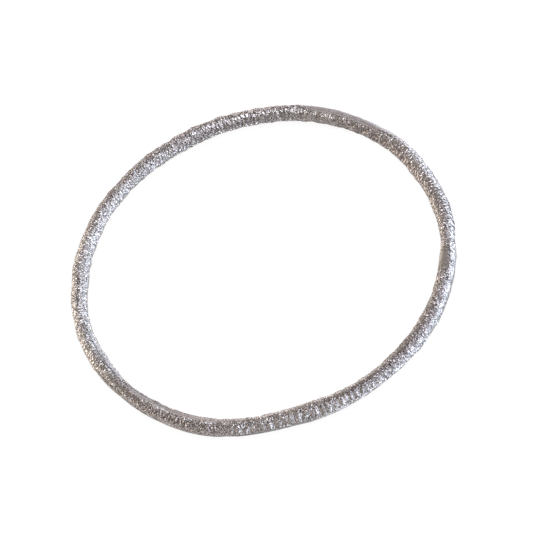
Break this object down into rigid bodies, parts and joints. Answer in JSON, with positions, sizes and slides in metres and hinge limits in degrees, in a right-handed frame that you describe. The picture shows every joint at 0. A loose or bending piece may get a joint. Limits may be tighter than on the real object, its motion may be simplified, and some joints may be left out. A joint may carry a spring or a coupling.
{
  "type": "bangle bracelet",
  "caption": "Slip-on ring bangle of hammered round wire, butted end to end and closed with a solder seam.",
  "frame": {"origin": "on the surface that the ring lies on, under the ring's centre", "axes": "+Z along the ring's axis, up from that surface; +X through the solder seam"},
  "size_m": [0.0692, 0.0695, 0.003],
  "materials": {
    "hammered_silver": "silver, hammered all over and polished on the high spots",
    "silver_solder": "hard silver solder, filed smooth and dull"
  },
  "bodies": {
    "root": {"band": "hammered_silver", "solder_seam": "silver_solder"}
  },
  "joints": []
}
